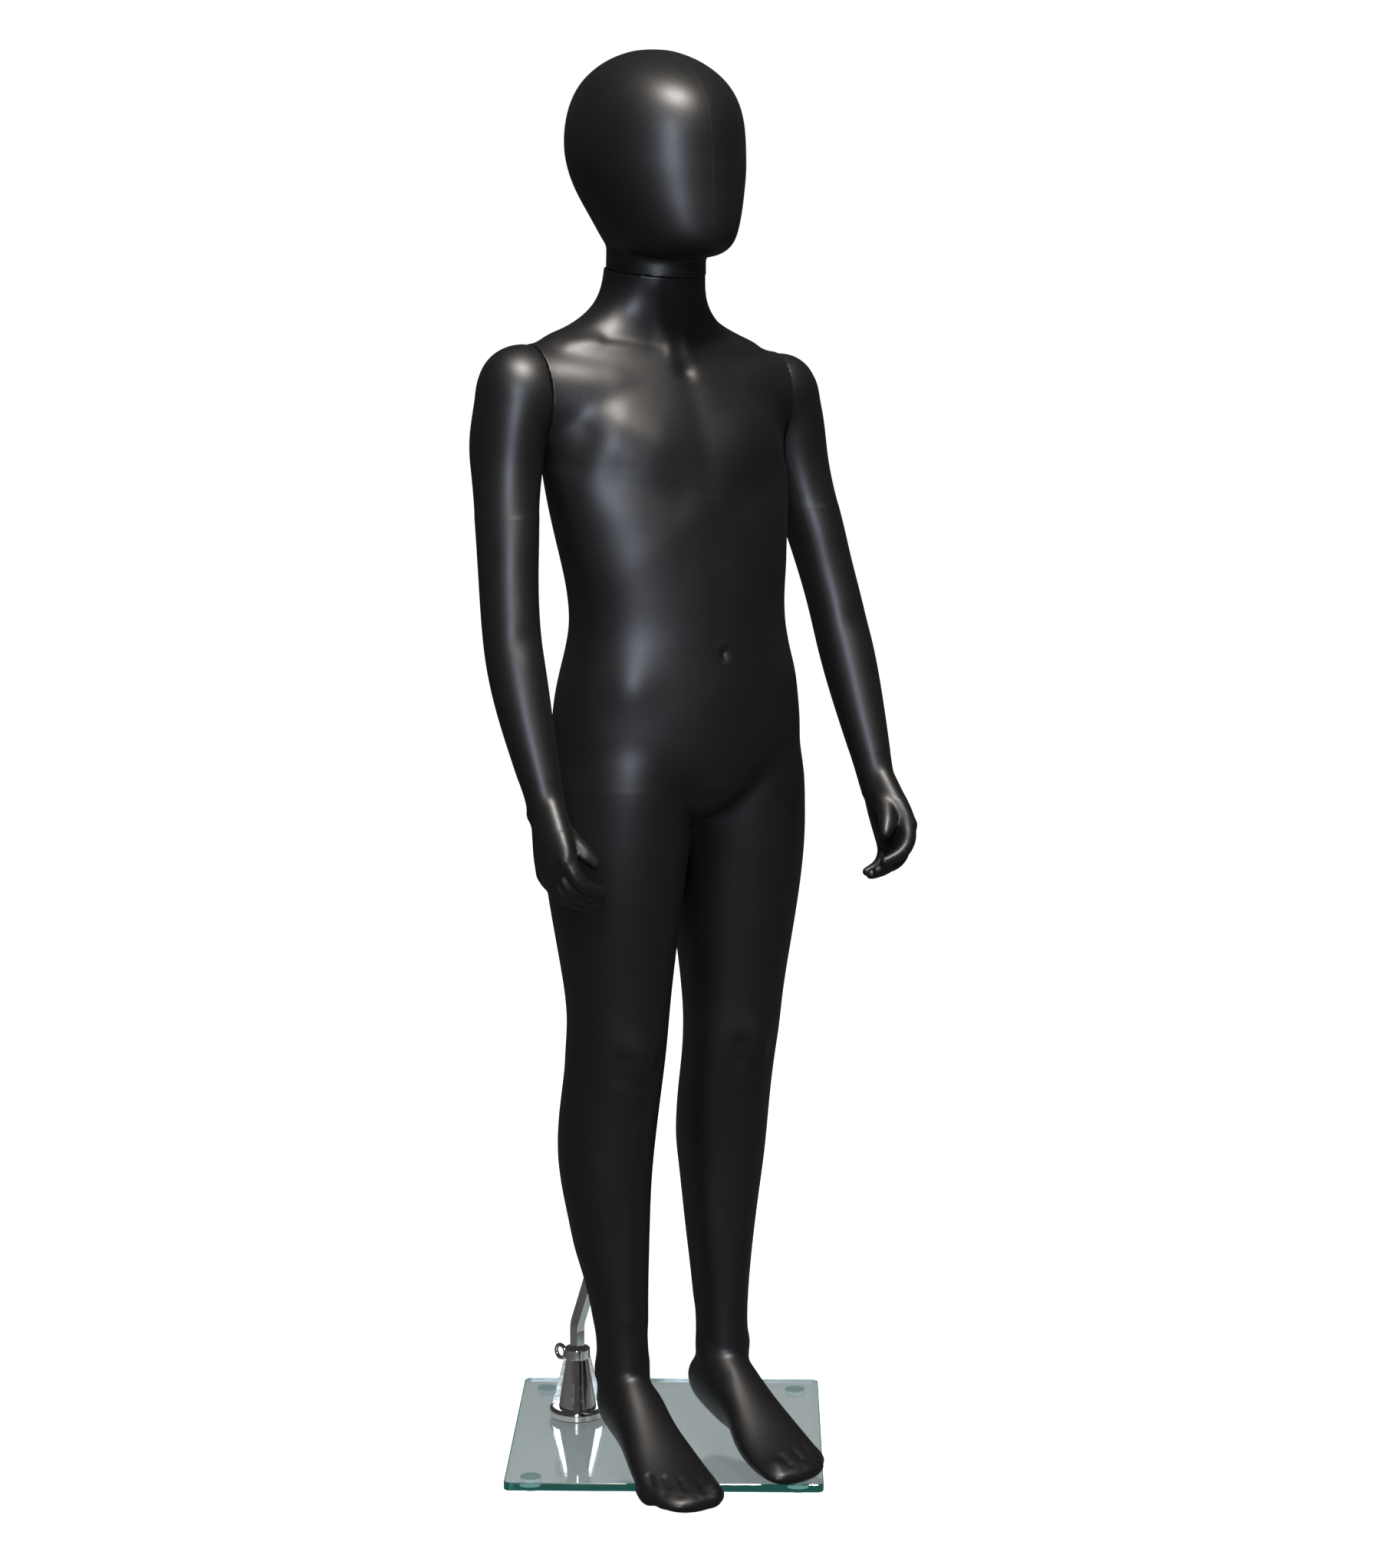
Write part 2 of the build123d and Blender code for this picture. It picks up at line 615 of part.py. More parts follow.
glass_at = Pos(GLASS_X, GLASS_Y, 0) * Rot(0, 0, GLASS_TURN)
glass = Box(GLASS_SIDE, GLASS_SIDE, GLASS_THICK)
glass = fillet(glass.edges().filter_by(Axis.Z), GLASS_CORNER_R)
rims = glass.faces().sort_by(Axis.Z)[0].edges() + glass.faces().sort_by(Axis.Z)[-1].edges()
glass = chamfer(rims, GLASS_EDGE)
glass = glass_at * Pos(0, 0, BUMPER_H + GLASS_THICK / 2) * glass
nodes["glass_base"] = glass - screw_line * disc(FIX_R + HOLE_CLEAR, 0, DECK + 1)

bumper_reach = GLASS_SIDE / 2 - BUMPER_INSET
bumpers = []
for right in (-1, 1):
    for back in (-1, 1):
        pad = Cylinder(BUMPER_R, BUMPER_H)
        pad = fillet(pad.edges().group_by(Axis.Z)[0], BUMPER_H * BUMPER_ROUND)
        bumpers.append(glass_at * Pos(right * bumper_reach, back * bumper_reach, BUMPER_H / 2) * pad)
nodes["bumpers"] = group(bumpers)

os.makedirs("parts", exist_ok=True)
for name, shape in nodes.items():
    export_step(shape, f"parts/{name}.step")
    print(name, "solids", len(shape.solids()), "volume", round(shape.volume))
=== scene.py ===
import bpy
import json
import numpy as np
from math import cos, pi, radians, sin
from mathutils import Matrix, Vector


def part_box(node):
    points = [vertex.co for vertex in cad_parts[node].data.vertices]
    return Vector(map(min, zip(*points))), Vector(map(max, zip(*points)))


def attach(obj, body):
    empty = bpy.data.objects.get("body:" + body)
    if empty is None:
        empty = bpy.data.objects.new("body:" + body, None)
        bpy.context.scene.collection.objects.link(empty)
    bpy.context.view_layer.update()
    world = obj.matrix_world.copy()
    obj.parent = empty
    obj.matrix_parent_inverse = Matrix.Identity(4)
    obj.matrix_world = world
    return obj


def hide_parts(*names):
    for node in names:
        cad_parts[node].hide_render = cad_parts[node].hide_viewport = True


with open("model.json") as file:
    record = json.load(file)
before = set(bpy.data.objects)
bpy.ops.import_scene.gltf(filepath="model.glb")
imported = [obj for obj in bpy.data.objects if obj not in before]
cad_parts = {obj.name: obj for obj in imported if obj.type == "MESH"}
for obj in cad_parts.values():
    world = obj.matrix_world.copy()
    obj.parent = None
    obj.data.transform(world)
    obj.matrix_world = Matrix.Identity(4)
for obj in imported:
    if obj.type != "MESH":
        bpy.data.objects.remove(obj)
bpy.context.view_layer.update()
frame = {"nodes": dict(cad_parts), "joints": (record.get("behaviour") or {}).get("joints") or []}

# ---- Glass base
# A square of clear float glass, eight millimetres thick, with ground green edges. It lies on four
# bumpers, and one drilled hole takes the screw that holds the base fitting.


class Wire:
    """One shader socket, which can be used in ordinary arithmetic."""

    def __init__(self, finish, socket):
        self.finish = finish
        self.socket = socket

    def math(self, operation, *values):
        return self.finish.add("ShaderNodeMath", {"operation": operation}, dict(enumerate(values)))

    def __add__(self, other):
        return self.math("ADD", self, other)

    def __radd__(self, other):
        return self.math("ADD", other, self)

    def __rsub__(self, other):
        return self.math("SUBTRACT", other, self)

    def __mul__(self, other):
        return self.math("MULTIPLY", self, other)

    def __rmul__(self, other):
        return self.math("MULTIPLY", other, self)

    def __abs__(self):
        return self.math("ABSOLUTE", self)

    def __lt__(self, other):
        return self.math("LESS_THAN", self, other)


class Finish:
    """A material with one shader, whose nodes are added by kind, settings and sockets."""

    def __init__(self, name, constants):
        self.material = bpy.data.materials.new(name)
        self.material.use_nodes = True
        self.tree = self.material.node_tree
        self.shader = self.tree.nodes["Principled BSDF"]
        for socket, value in constants.items():
            self.shader.inputs[socket].default_value = value

    def add(self, kind, settings=None, sockets=None, out=0):
        node = self.tree.nodes.new(kind)
        for key, value in (settings or {}).items():
            setattr(node, key, value)
        for key, value in (sockets or {}).items():
            if isinstance(value, Wire):
                self.tree.links.new(value.socket, node.inputs[key])
            else:
                node.inputs[key].default_value = value
        return Wire(self, node.outputs[out])

    def mixed(self, factor, first, second):
        """Two colours mixed by a wire."""
        return self.add("ShaderNodeMix", {"data_type": "RGBA"}, {0: factor, 6: first, 7: second}, 2)

    def drive(self, socket, wire):
        self.tree.links.new(wire.socket, self.shader.inputs[socket])

    def place(self):
        """The surface's own place on the object."""
        return self.add("ShaderNodeTexCoord", out=3)

    def noise(self, scale, detail=2.0):
        sockets = {"Vector": self.place(), "Scale": scale, "Detail": detail}
        return self.add("ShaderNodeTexNoise", None, sockets)

    def bump(self, height, strength, distance):
        settings = {"Height": height, "Strength": strength, "Distance": distance}
        self.drive("Normal", self.add("ShaderNodeBump", None, settings))

    def on(self, *pieces):
        for piece in pieces:
            piece.data.materials.clear()
            piece.data.materials.append(self.material)


nodes = frame["nodes"]
glass = Finish("clear_float_glass", {"Transmission Weight": 1.0, "IOR": 1.5, "Emission Strength": 1.0})
up_down = glass.add("ShaderNodeSeparateXYZ", None, {0: glass.add("ShaderNodeTexCoord", out=1)}, 2)
is_edge = abs(up_down) < 0.9
glass.drive("Base Color", glass.mixed(is_edge, (0.82, 0.93, 0.94, 1), (0.24, 0.55, 0.47, 1)))
# The edges are also given a faint green glow: painted light, standing in for light that the glass carries to
# its ground edges.
glass.drive("Emission Color", glass.mixed(is_edge, (0, 0, 0, 1), (0.008, 0.07, 0.058, 1)))
smears = glass.noise(26, 4)
glass.drive("Roughness", 0.015 + 0.05 * smears * (1 - is_edge) + 0.12 * is_edge)
glass.on(nodes["glass_base"])

# ---- Bumpers, gasket, fixing screw and washer
# Clear soft polymer bumpers carry the glass. A black rubber gasket keeps the metal fitting off it, and a
# zinc plated screw with a wide washer pulls the fitting down from below.
clear_rubber = Finish("clear_soft_bumper", {"Emission Strength": 1.0, "IOR": 1.42})
milky = clear_rubber.noise(90)
clear_rubber.drive("Base Color", clear_rubber.mixed(milky, (0.36, 0.42, 0.42, 1), (0.44, 0.5, 0.5, 1)))
# The bumpers are also given a faint glow: painted light, standing in for light carried through the clear
# polymer, so they look evenly bright under the glass.
painted_bumper_glow = clear_rubber.mixed(milky, (0.12, 0.15, 0.15, 1), (0.16, 0.19, 0.19, 1))
clear_rubber.drive("Emission Color", painted_bumper_glow)
clear_rubber.drive("Roughness", 0.25 + 0.15 * clear_rubber.noise(400))
clear_rubber.on(nodes["bumpers"])

rubber = Finish("moulded_black_rubber", {"Base Color": (0.028, 0.028, 0.029, 1)})
rubber.drive("Roughness", 0.72 + 0.18 * rubber.noise(180))
rubber.bump(rubber.noise(900), 0.35, 0.0003)
rubber.on(nodes["base_gasket"])

zinc = Finish("zinc_plated_steel", {"Metallic": 1.0})
spangle = zinc.noise(420, 3)
zinc.drive("Base Color", zinc.mixed(spangle, (0.47, 0.47, 0.46, 1), (0.72, 0.72, 0.74, 1)))
zinc.drive("Roughness", 0.28 + 0.2 * zinc.noise(900))
zinc.bump(zinc.noise(1500), 0.15, 0.0001)
zinc.on(nodes["fixing_screw"], nodes["fixing_washer"])

# ---- Base fitting and thumb screw
# A die-cast cone with a flange, four fins and a square bore, polished and chromed. The thumb screw goes
# through a boss near its top, and its round loop is the grip.
chrome = Finish("polished_chrome", {"Metallic": 1.0})
cloud = chrome.noise(55, 3)
chrome.drive("Base Color", chrome.mixed(cloud, (0.78, 0.76, 0.71, 1), (0.87, 0.86, 0.84, 1)))
chrome.drive("Roughness", 0.06 + 0.1 * chrome.noise(240, 5) * cloud)
chrome.bump(chrome.noise(130), 0.06, 0.0006)
chrome.on(nodes["base_fitting"], nodes["thumb_screw"])

# ---- Support bar
# One length of ten millimetre square bar, bent once, then chromed. It stands in the fitting's bore and
# leans forward into the calf, and long draw marks run up its faces.
bar_chrome = Finish("drawn_chrome_bar", {"Metallic": 1.0, "Base Color": (0.82, 0.82, 0.81, 1)})
stretch = bar_chrome.add("ShaderNodeMapping", None, {"Vector": bar_chrome.place(), "Scale": (900, 900, 12)})
draw_marks = bar_chrome.add("ShaderNodeTexNoise", None, {"Vector": stretch, "Scale": 1.0, "Detail": 2.0})
bar_chrome.drive("Roughness", 0.07 + 0.12 * draw_marks)
bar_chrome.bump(draw_marks, 0.08, 0.0002)
bar_chrome.on(nodes["support_rod"])

# ---- Body shell
# The torso and both legs are one blow moulding in satin black plastic, with a flat face at the neck and
# at each shoulder. A fine parting line runs down each side, where the two halves of the mould met.
mm = 0.001
joints = {joint["name"]: joint for joint in frame["joints"]}
neck_point = Vector(joints["neck_turn"]["pos_m"])
neck_axis = Vector(joints["neck_turn"]["axis"])
shoulder_point = Vector(joints["left_shoulder_swing"]["pos_m"])
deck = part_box("glass_base")[1][2]
middle = neck_point.x
ankle_line = neck_point.y - 31 * mm
arm_seam = shoulder_point.x - middle
seam_gap = 0.6 * mm
heel_lift = 25
toe_out = {-1: 9.5, 1: -2.5}
foot_middle = {-1: 58.5, 1: 55.5}
foot_stagger = 6


def spot(x, y, z):
    """A place on the figure, in millimetres left of its middle, behind its ankles and above the glass."""
    return Vector((middle + x * mm, ankle_line + y * mm, deck + z * mm))


def grow(value, centre):
    bpy.ops.transform.resize(value=value, center_override=centre)


def hold(*pieces):
    """Selects these pieces and nothing else, with the first of them active."""
    bpy.ops.object.select_all(action="DESELECT")
    for piece in pieces:
        piece.select_set(True)
    bpy.context.view_layer.objects.active = pieces[0]


def drawn(name, sections, turn=(0, 0, 0), points=36):
    """Draws a disc out into a closed tube, through sections that each give a centre and a size."""
    bpy.ops.object.select_all(action="DESELECT")
    centre, size = sections[0]
    bpy.ops.mesh.primitive_circle_add(vertices=points, radius=mm, fill_type="NGON", location=centre,
                                      rotation=turn)
    piece = bpy.context.object
    piece.name = name
    bpy.ops.object.mode_set(mode="EDIT")
    bpy.ops.mesh.select_all(action="SELECT")
    grow(size, centre)
    for following, next_size in sections[1:]:
        bpy.ops.mesh.extrude_region_move(TRANSFORM_OT_translate={"value": following - centre})
        grow([after / before for before, after in zip(size, next_size)], following)
        centre, size = following, next_size
    bpy.ops.mesh.select_all(action="SELECT")
    bpy.ops.mesh.normals_make_consistent(inside=False)
    bpy.ops.object.mode_set(mode="OBJECT")
    bpy.ops.object.transform_apply(location=True, rotation=True, scale=True)
    return piece


def softened(piece):
    finish_with(piece, "SUBSURF", levels=2, render_levels=2)
    return piece


def tube(name, stations, side=1, points=36):
    """A soft upright tube through level ovals, each given as x, y, z, half width and half depth."""
    sections = [(spot(side * x, y, z), (wide, deep, 1)) for x, y, z, wide, deep in stations]
    return softened(drawn(name, sections, points=points))


def finish_with(piece, kind, **settings):
    """Adds one modifier and applies it."""
    hold(piece)
    modifier = piece.modifiers.new(kind.title(), kind)
    for key, value in settings.items():
        setattr(modifier, key, value)
    bpy.ops.object.modifier_apply(modifier=modifier.name)


def ball(name, centre, radius, shape=(1, 1, 1)):
    bpy.ops.object.select_all(action="DESELECT")
    bpy.ops.mesh.primitive_uv_sphere_add(segments=32, ring_count=20, radius=radius * mm, location=centre)
    piece = bpy.context.object
    piece.name = name
    piece.scale = shape
    bpy.ops.object.transform_apply(location=True, rotation=True, scale=True)
    return piece


def digit(name, path, radii):
    """A finger or toe: a round curve through a few points with its own radius at each, and a round tip."""
    bpy.ops.object.select_all(action="DESELECT")
    bpy.ops.curve.primitive_nurbs_path_add()
    piece = bpy.context.object
    piece.name = name
    curve = piece.data
    curve.splines.clear()
    spline = curve.splines.new("NURBS")
    spline.points.add(len(path) - 1)
    for point, place, radius in zip(spline.points, path, radii):
        point.co = (*place, 1)
        point.radius = radius
    spline.order_u = 3
    spline.use_endpoint_u = True
    spline.resolution_u = 10
    curve.bevel_depth = mm
    curve.bevel_resolution = 5
    curve.use_fill_caps = True
    bpy.ops.object.convert(target="MESH")
    piece = bpy.context.object
    bpy.ops.object.transform_apply(location=True, rotation=True, scale=True)
    tip = ball("tip", path[-1], radii[-1])
    return joined(name, [piece, tip])


def joined(name, pieces):
    hold(*pieces)
    bpy.ops.object.join()
    pieces[0].name = name
    return pieces[0]


def cut(piece, point, normal, ends=False):
    """Cuts a piece with a plane. Where the piece ends there, what lies ahead is cleared and capped."""
    hold(piece)
    bpy.ops.object.mode_set(mode="EDIT")
    bpy.ops.mesh.select_all(action="SELECT")
    bpy.ops.mesh.bisect(plane_co=point, plane_no=normal, clear_outer=ends, use_fill=ends)
    bpy.ops.object.mode_set(mode="OBJECT")


torso_stations = [
    (0, 6, 611, 20, 36),
    (0, 3, 621, 54, 62),
    (0, -1, 645, 106, 82),
    (0, -4, 674, 127, 90),
    (0, -5, 706, 126.5, 89.5),
    (0, -6, 745, 121, 85),
    (0, -8, 785, 109, 80),
    (0, -7, 810, 107.5, 78),
    (0, -4, 840, 110.5, 77),
    (0, 2, 875, 117.5, 77),
    (0, 9, 915, 124, 78),
    (0, 17, 955, 127, 75),
    (0, 25, 995, 128, 66),
    (0, 30, 1020, 130, 58),
    (0, 35, 1038, 130, 52),
    (0, 38, 1049, 127, 47),
    (0, 40, 1059, 113, 45),
    (0, 41, 1068, 92, 44),
    (0, 41, 1080, 68, 45),
    (0, 39, 1093, 54, 46.5),
    (0, 36, 1106, 48.5, 48),
    (0, 33, 1122, 46.5, 49),
    (0, 31, 1150, 46, 49.5),
]
leg_stations = [
    (48, -2, 735, 50, 58),
    (54, -2, 700, 66, 76),
    (59, -1, 662, 69.5, 81.5),
    (62.5, 0, 626, 67.8, 80.5),
    (65.5, 0, 590, 66, 78),
    (66.5, -2, 540, 60.5, 68.5),
    (65.5, -3, 482, 52.5, 57.5),
    (64.5, -3, 440, 47, 52),
    (64.5, -3, 410, 44.5, 50),
    (64, 2, 378, 43.5, 47.5),
    (64.5, 10, 345, 43.5, 48.5),
    (65.5, 16, 310, 43, 49),
    (66, 17.5, 275, 40.5, 46.5),
    (64, 15.5, 240, 36.5, 41.5),
    (62, 12.5, 200, 32, 36.5),
    (60.3, 9, 160, 27.5, 32),
    (59, 5.5, 125, 24.7, 29),
    (58.5, 3, 98, 24.5, 28.5),
    (58.5, 2, 72, 25.5, 30),
    (58.5, 3, 50, 25, 31),
]
# Foot sections from the heel to the toes: run, half width, shift inwards, underside, top.
foot_stations = [
    (0.5, 9, 0, 22, 38),
    (4, 19, 0, 10, 50),
    (14, 25, 0, 2, 66),
    (34, 27, 0, 0, 79),
    (60, 27.5, 1, 0, 75),
    (90, 30, 1.5, 0, 59),
    (120, 35, 1.5, 0, 45),
    (148, 38.5, 2, 0, 34),
    (172, 38, 4, 0, 26),
    (190, 34, 7, 0.5, 21.5),
    (200, 28, 9, 2, 18),
    (206, 18, 11, 5, 14),
]
# Toes from the big one outwards: points across the foot, along it and up, then a radius for each.
toe_paths = [
    [(-25, 160, 14), (-26, 178, 13), (-25, 189, 12), (-23, 196, 10.5)],
    [(-6.5, 162, 13), (-6.5, 181, 13), (-6, 192, 11.5), (-5.5, 199, 9)],
    [(7, 160, 12), (7.5, 176, 12.5), (8.5, 187, 11), (8.5, 193, 8.5)],
    [(19, 154, 11.5), (20.5, 169, 12), (21.5, 179, 10.5), (21.5, 184.5, 8)],
    [(28.5, 146, 11), (30.5, 159, 11.5), (31, 168, 10), (30.5, 173, 8)],
]
toe_radii = [[10, 11, 11, 8.5], [7, 8, 8, 6], [6.6, 7.6, 7.6, 5.8], [6.4, 7.2, 7.2, 5.5], [6.4, 7, 7, 5.5]]


ball_run = 148
sole_clearance = 0.5
heel_back = 36


def lift_at(run):
    """How far the sole is above the glass: the heel is raised and the ball is down."""
    return sole_clearance + heel_lift * max(0.0, 1 - run / ball_run)


def foot_spot(side, across, run, up):
    """A place on a foot: millimetres out from its middle line, from its heel, and above the sole line."""
    turn = radians(side * toe_out[side])
    x, y = side * across, heel_back - run
    return spot(side * foot_middle[side] + x * cos(turn) - y * sin(turn),
                side * foot_stagger + x * sin(turn) + y * cos(turn), up + lift_at(run))


def foot_tube(side):
    """The foot's tube is drawn out level from the heel, so its ovals stand upright."""
    sections = [(foot_spot(side, -shift, run, (low + high) / 2), (wide, 1, (high - low) / 2))
                for run, wide, shift, low, high in foot_stations]
    return softened(drawn("foot", sections, turn=(pi / 2, 0, 0)))


def foot_parts(side):
    parts = [foot_tube(side)]
    for path, radii in zip(toe_paths, toe_radii):
        points = [foot_spot(side, *point) for point in path]
        parts.append(digit("toe", points, radii))
    return parts


def staggered(stations, side):
    top = stations[0][2]
    return [(x, y + side * foot_stagger * (1 - z / top), z, wide, deep) for x, y, z, wide, deep in stations]


def remeshed(piece, size, smooth):
    """Draws one even skin round every tube of a piece, then eases the creases between them."""
    finish_with(piece, "REMESH", mode="VOXEL", voxel_size=size)
    finish_with(piece, "SMOOTH", factor=0.5, iterations=smooth)


def rows_of(piece, what="co"):
    """One row of three numbers for each point of a piece: its place, or its normal."""
    rows = np.empty(len(piece.data.vertices) * 3)
    piece.data.vertices.foreach_get(what, rows)
    return rows.reshape(-1, 3)


def moved_to(piece, places):
    piece.data.vertices.foreach_set("co", places.ravel())
    piece.data.update()


def eased(piece, low, high, times):
    """Smooths one stretch of a skin further, between two heights above the glass."""
    heights = rows_of(piece)[:, 2] - deck
    chosen = np.nonzero((heights > low * mm) & (heights < high * mm))[0]
    piece.vertex_groups.new(name="eased").add(chosen.tolist(), 1.0, "REPLACE")
    finish_with(piece, "SMOOTH", factor=0.5, iterations=times, vertex_group="eased")
    piece.vertex_groups.clear()


def press(piece, path, width, depth, facing):
    """Moves the skin that faces one way near a path: out for a positive depth, in for a negative one."""
    piece.data.update()
    places = rows_of(piece)
    normals = rows_of(piece, "normal")
    facing = np.array(Vector(facing).normalized())
    towards = np.clip(normals @ facing * 1.6, 0, 1)
    flat = places - np.outer(places @ facing, facing)
    nearest = np.full(len(places), np.inf)
    corners = [np.array(point) - facing * np.dot(point, facing) for point in path]
    for start, end in zip(corners[:-1] or corners, corners[1:] or corners):
        along = end - start
        length = max(float(along @ along), 1e-12)
        share = np.clip((flat - start) @ along / length, 0, 1)
        nearest = np.minimum(nearest, np.linalg.norm(flat - start - np.outer(share, along), axis=1))
    push = depth * mm * np.exp(-(nearest / (width * mm)) ** 2) * towards
    moved_to(piece, places + normals * push[:, None])


def shoulder_ball(side):
    """The ball lies across the seam, so the arm's top and the torso's end are one round shape."""
    return ball("shoulder", spot(side * 138, 38, 1006), 1, (44, 42, 46))


# The yoke fills the torso out sideways to the shoulder's flat face: x, y, z, half depth and half height.
yoke_stations = [
    (40, 32, 1003, 60, 50),
    (70, 34, 1002, 58, 53),
    (95, 35.5, 1002, 53, 53),
    (112, 36.5, 1003, 48, 51),
    (124, 37.5, 1004.5, 44.5, 48.5),
    (131, 38, 1005.5, 42.5, 46.5),
    (138, 38, 1006, 41.5, 45.3),
]


def yoke(side):
    sections = [(spot(side * x, y, z), (1, deep, tall)) for x, y, z, deep, tall in yoke_stations]
    return drawn("yoke", sections, turn=(0, pi / 2, 0))


skin_parts = [tube("torso", torso_stations)]
for side in (-1, 1):
    skin_parts.append(tube("leg", staggered(leg_stations, side), side))
    skin_parts += foot_parts(side)
for side in (-1, 1):
    skin_parts += [shoulder_ball(side), yoke(side)]

body = joined("body_shell_moulding", skin_parts)
remeshed(body, size=2.8 * mm, smooth=12)
eased(body, low=655, high=780, times=60)
eased(body, low=940, high=1100, times=45)

# Breast, collar bones, neck hollow and shoulder blades.
for side in (-1, 1):
    press(body, [spot(side * 50, -50, 968), spot(side * 74, -40, 978)], 30, 5.2, (0, -1, 0.2))
    press(body, [spot(side * 36, -50, 916), spot(side * 84, -50, 932)], 20, -2.0, (0, -1, 0))
    press(body, [spot(side * 14, 0, 1043), spot(side * 50, 0, 1051), spot(side * 100, 15, 1054)], 10, 1.5,
          (0, -0.6, 0.8))
    press(body, [spot(side * 28, 0, 1062), spot(side * 66, 10, 1068)], 15, -2.2, (0, -0.5, 0.85))
    press(body, [spot(side * 10, 0, 1046), spot(side * 22, 0, 1105)], 7, 0.9, (0, -1, 0.1))
    press(body, [spot(side * 100, 0, 975), spot(side * 112, 0, 950)], 14, -2.2, (side * 0.3, -1, 0))
    press(body, [spot(side * 58, 100, 1010), spot(side * 66, 100, 960)], 22, 3.6, (0, 1, 0))
    press(body, [spot(side * 38, 100, 1010), spot(side * 44, 100, 950)], 9, -1.5, (0, 1, 0))
for side in (-1, 1):
    press(body, [spot(side * 16, 0, 1042), spot(side * 66, 0, 1067)], 7, -1.6, (0, -0.6, 0.8))
press(body, [spot(0, -40, 1044)], 9, -3.4, (0, -0.8, 0.6))
press(body, [spot(66, 40, 1078), spot(126, 40, 1052)], 28, -6.0, (0, 0, 1))
press(body, [spot(-110, 40, 1052), spot(-132, 40, 1050)], 20, 3.0, (0, 0, 1))
press(body, [spot(0, -50, 1010), spot(0, -60, 925)], 13, -1.1, (0, -1, 0))
press(body, [spot(0, -80, 900), spot(0, -80, 800)], 12, -0.5, (0, -1, 0))
press(body, [spot(0, 100, 1045), spot(0, 100, 880), spot(0, 80, 760)], 10, -3.4, (0, 1, 0))

# Rib edge, waist, navel and hips.
for side in (-1, 1):
    press(body, [spot(side * 10, -70, 915), spot(side * 52, -70, 872), spot(side * 95, -50, 850)], 18, 0.7,
          (0, -1, 0))
    press(body, [spot(side * 62, -80, 800)], 30, -1.2, (0, -1, 0))
    press(body, [spot(side * 84, -60, 748)], 24, 3.4, (side * 0.5, -0.9, 0.2))
    press(body, [spot(side * 20, -80, 624), spot(side * 42, -80, 655)], 11, -1.4, (side * 0.2, -1, 0))
    press(body, [spot(side * 56, 90, 672)], 40, 6.5, (0, 1, 0))
    press(body, [spot(side * 26, 90, 607), spot(side * 88, 90, 612)], 9, -4.2, (0, 1, -0.2))
    press(body, [spot(side * 105, 20, 690)], 22, -2.4, (side, 0.5, 0))
press(body, [spot(0, -90, 779), spot(0, -90, 773)], 3.4, -3.0, (0, -1, 0))
press(body, [spot(0, -90, 783)], 3.2, 0.9, (0, -1, 0.2))
press(body, [spot(0, -90, 740)], 34, 2.2, (0, -1, 0))
press(body, [spot(0, -90, 640)], 18, 3.6, (0, -1, -0.2))
press(body, [spot(0, 90, 722), spot(0, 90, 622)], 9, -6.0, (0, 1, 0))

# Knees, calves and ankles.
for side in (-1, 1):
    shift = side * foot_stagger
    press(body, [spot(side * 65, -60, 408), spot(side * 65, -60, 392)], 16, 3.4, (0, -1, 0))
    press(body, [spot(side * 46, -60, 398), spot(side * 48, -60, 382)], 8, -1.6, (0, -1, 0))
    press(body, [spot(side * 84, -60, 398), spot(side * 83, -60, 382)], 8, -1.6, (0, -1, 0))
    press(body, [spot(side * 65, -40, 362)], 9, 1.5, (0, -1, 0))
    press(body, [spot(side * 64, 60, 415), spot(side * 64, 60, 385)], 15, -2.4, (0, 1, 0))
    press(body, [spot(side * 50, 60, 400), spot(side * 52, 60, 350)], 6, 1.8, (0, 1, 0))
    press(body, [spot(side * 79, 60, 400), spot(side * 77, 60, 350)], 6, 1.8, (0, 1, 0))
    press(body, [spot(side * 52, 60, 290)], 24, 2.2, (-side * 0.5, 1, 0))
    press(body, [spot(side * 80, 60, 300)], 22, 1.6, (side * 0.5, 1, 0))
    press(body, [spot(side * 63, -40, 330), spot(side * 60, -40, 140)], 7, 1.2, (side * -0.3, -1, 0))
    if side < 0:
        press(body, [spot(-80, 20, 390), spot(-80, 20, 215)], 38, 4.5, (-1, 0.5, 0))
    press(body, [spot(side * 34, shift + 2, 92)], 11, 2.0, (-side, 0, 0))
    press(body, [spot(side * 82, shift + 8, 84)], 10, 2.2, (side, 0, 0))
    press(body, [spot(side * 40, shift + 26, 80), spot(side * 46, shift + 24, 120)], 11, -1.8,
          (-side, 0.5, 0))
    press(body, [spot(side * 77, shift + 28, 76), spot(side * 71, shift + 26, 120)], 11, -1.8,
          (side, 0.5, 0))

# Toes: a groove between each pair and a nail on each, and the hollow of the arch.
for side in (-1, 1):
    for inner, outer in zip(toe_paths, toe_paths[1:]):
        groove = [foot_spot(side, (inner[k][0] + outer[k][0]) / 2, outer[k][1] - 6, 14) for k in (1, 2, 3)]
        press(body, groove, 2.2, -1.6, (0, -0.35, 1))
    for path, radii in zip(toe_paths, toe_radii):
        across, run, up = path[-1]
        press(body, [foot_spot(side, across, run, 14)], 0.5 * radii[-1], -0.6, (0, -0.5, 0.85))
    press(body, [foot_spot(side, -22, 92, 20)], 24, -4.5, (-side, 0, -0.6))

# The seams: a flat face at the neck and at each shoulder, with its edge drawn in a little.
rim_rings = (2.2, 0.9)
rim_round = 0.7
on_face = 0.02


def flat_end(piece, point, outward):
    """Cuts a shell square at a joint face, caps it and rounds the cut edge slightly."""
    direction = Vector(outward).normalized()
    for back in rim_rings:
        cut(piece, point - direction * back * mm, direction)
    cut(piece, point, direction, ends=True)
    places = rows_of(piece)
    facing = np.array(direction)
    rim = np.abs((places - np.array(point)) @ facing) < on_face * mm
    outwards = places[rim] - places[rim].mean(axis=0)
    outwards -= np.outer(outwards @ facing, facing)
    length = np.maximum(np.linalg.norm(outwards, axis=1), 1e-6)
    places[rim] -= outwards / length[:, None] * rim_round * mm
    moved_to(piece, places)


